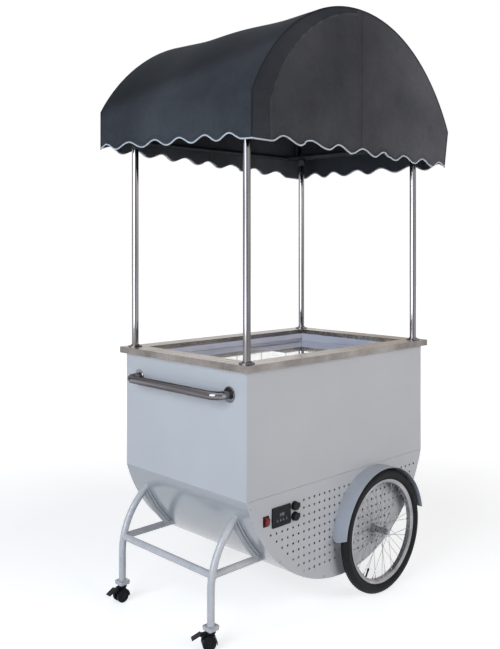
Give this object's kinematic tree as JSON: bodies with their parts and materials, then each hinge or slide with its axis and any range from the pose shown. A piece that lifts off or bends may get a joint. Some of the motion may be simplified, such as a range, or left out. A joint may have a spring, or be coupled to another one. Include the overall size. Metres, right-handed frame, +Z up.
{
  "type": "ice cream cart",
  "caption": "Push cart with a cold well under sliding glass lids, an arched cloth canopy on poles, bicycle wheels, braked casters and a push handle.",
  "frame": {"origin": "on the floor, under the middle of the cart's bounding box", "axes": "+Z up; +X from the push handle towards the far end; -Y is the side with the controls"},
  "size_m": [1.292, 0.8856, 2.35],
  "materials": {
    "stainless": "brushed",
    "body_paint": "gloss",
    "frame_paint": "satin",
    "chrome": "polished",
    "galvanised": "satin",
    "zinc_steel": "satin",
    "canopy_cloth": "matte",
    "clear_glass": "polished",
    "pale_plastic": "satin",
    "black_plastic": "satin",
    "red_plastic": "gloss",
    "button_plastic": "satin",
    "black_rubber": "matte",
    "insulation": "matte",
    "copper": "satin",
    "machine_black": "satin"
  },
  "bodies": {
    "cart": {"worktop": "stainless", "end_panel_handle": "body_paint", "end_panel_far": "body_paint", "belly_panel": "body_paint", "side_panel_right": "body_paint", "side_panel_left": "body_paint", "vent_panel_right": "body_paint", "vent_panel_left": "body_paint", "body_frame": "frame_paint", "tub_liner": "stainless", "tub_foam": "insulation", "evaporator_coil": "copper", "lid_track": "pale_plastic", "canopy_poles": "chrome", "tube_flanges": "chrome", "canopy_vault": "canopy_cloth", "canopy_end_panels": "canopy_cloth", "canopy_frame": "galvanised", "handle_bar": "chrome", "legs": "frame_paint", "leg_stays": "frame_paint", "leg_cross_tube": "frame_paint", "caster_plates": "zinc_steel", "axle": "zinc_steel", "mudguard_left": "frame_paint", "mudguard_right": "frame_paint", "screws": "zinc_steel", "switch_housing": "black_plastic", "controller_case": "black_plastic", "outlet_bodies": "black_plastic", "compressor": "machine_black", "condenser": "galvanised", "fan_motor": "zinc_steel"},
    "wheel_right": {"tyre_right": "black_rubber", "rim_right": "galvanised", "spokes_right": "zinc_steel", "hub_right": "zinc_steel"},
    "swivel_right": {"caster_yoke_right": "black_plastic"},
    "caster_right": {"caster_wheels_right": "black_plastic"},
    "brake_right": {"caster_pedal_right": "black_plastic"},
    "wheel_left": {"tyre_left": "black_rubber", "rim_left": "galvanised", "spokes_left": "zinc_steel", "hub_left": "zinc_steel"},
    "swivel_left": {"caster_yoke_left": "black_plastic"},
    "caster_left": {"caster_wheels_left": "black_plastic"},
    "brake_left": {"caster_pedal_left": "black_plastic"},
    "upper_lid": {"lid_upper": "clear_glass", "lid_pull_upper": "pale_plastic"},
    "lower_lid": {"lid_lower": "clear_glass", "lid_pull_lower": "pale_plastic"},
    "rocker": {"switch_rocker": "red_plastic"},
    "button_1": {"controller_button_1": "button_plastic"},
    "button_2": {"controller_button_2": "button_plastic"},
    "button_3": {"controller_button_3": "button_plastic"},
    "button_4": {"controller_button_4": "button_plastic"},
    "upper_cap": {"outlet_cap_upper": "black_plastic"},
    "lower_cap": {"outlet_cap_lower": "black_plastic"},
    "fan": {"fan_blades": "galvanised"}
  },
  "joints": [
    {"name": "wheel_right_spin", "type": "hinge", "parent": "cart", "child": "wheel_right", "pos_m": [0.241, -0.402, 0.25], "axis": [0, 1, 0], "continuous": true},
    {"name": "caster_right_swivel", "type": "hinge", "parent": "cart", "child": "swivel_right", "pos_m": [-0.576, -0.268, 0.05], "axis": [0, 0, 1], "continuous": true},
    {"name": "caster_right_roll", "type": "hinge", "parent": "swivel_right", "child": "caster_right", "pos_m": [-0.58278, -0.26376, 0.025], "axis": [0.5299, 0.848, 0], "continuous": true},
    {"name": "brake_right_press", "type": "hinge", "parent": "swivel_right", "child": "brake_right", "pos_m": [-0.60144, -0.2521, 0.052], "axis": [-0.5299, -0.848, 0], "range_deg": [0, 16]},
    {"name": "wheel_left_spin", "type": "hinge", "parent": "cart", "child": "wheel_left", "pos_m": [0.241, 0.402, 0.25], "axis": [0, 1, 0], "continuous": true},
    {"name": "caster_left_swivel", "type": "hinge", "parent": "cart", "child": "swivel_left", "pos_m": [-0.576, 0.268, 0.05], "axis": [0, 0, 1], "continuous": true},
    {"name": "caster_left_roll", "type": "hinge", "parent": "swivel_left", "child": "caster_left", "pos_m": [-0.584, 0.268, 0.025], "axis": [0, 1, 0], "continuous": true},
    {"name": "brake_left_press", "type": "hinge", "parent": "swivel_left", "child": "brake_left", "pos_m": [-0.606, 0.268, 0.052], "axis": [0, -1, 0], "range_deg": [0, 16]},
    {"name": "upper_lid_slide", "type": "slide", "parent": "cart", "child": "upper_lid", "axis": [1, 0, 0], "range_m": [0, 0.411]},
    {"name": "lower_lid_slide", "type": "slide", "parent": "cart", "child": "lower_lid", "axis": [1, 0, 0], "range_m": [-0.411, 0]},
    {"name": "switch_rock", "type": "hinge", "parent": "cart", "child": "rocker", "pos_m": [-0.393, -0.362, 0.428], "axis": [1, 0, 0], "range_deg": [-18, 0]},
    {"name": "button_1_press", "type": "slide", "parent": "cart", "child": "button_1", "axis": [0, 1, 0], "range_m": [0, 0.0008], "stiffness_N_per_m": 300, "springref_m": -0.001},
    {"name": "button_2_press", "type": "slide", "parent": "cart", "child": "button_2", "axis": [0, 1, 0], "range_m": [0, 0.0008], "stiffness_N_per_m": 300, "springref_m": -0.001},
    {"name": "button_3_press", "type": "slide", "parent": "cart", "child": "button_3", "axis": [0, 1, 0], "range_m": [0, 0.0008], "stiffness_N_per_m": 300, "springref_m": -0.001},
    {"name": "button_4_press", "type": "slide", "parent": "cart", "child": "button_4", "axis": [0, 1, 0], "range_m": [0, 0.0008], "stiffness_N_per_m": 300, "springref_m": -0.001},
    {"name": "outlet_cap_upper_hinge", "type": "hinge", "parent": "cart", "child": "upper_cap", "pos_m": [-0.2215, -0.3692, 0.452], "axis": [0, 0, 1], "range_deg": [0, 120]},
    {"name": "outlet_cap_lower_hinge", "type": "hinge", "parent": "cart", "child": "lower_cap", "pos_m": [-0.2215, -0.3692, 0.413], "axis": [0, 0, 1], "range_deg": [0, 120]},
    {"name": "fan_spin", "type": "hinge", "parent": "cart", "child": "fan", "pos_m": [-0.071, -0.173, 0.297], "axis": [0, 1, 0], "continuous": true}
  ]
}
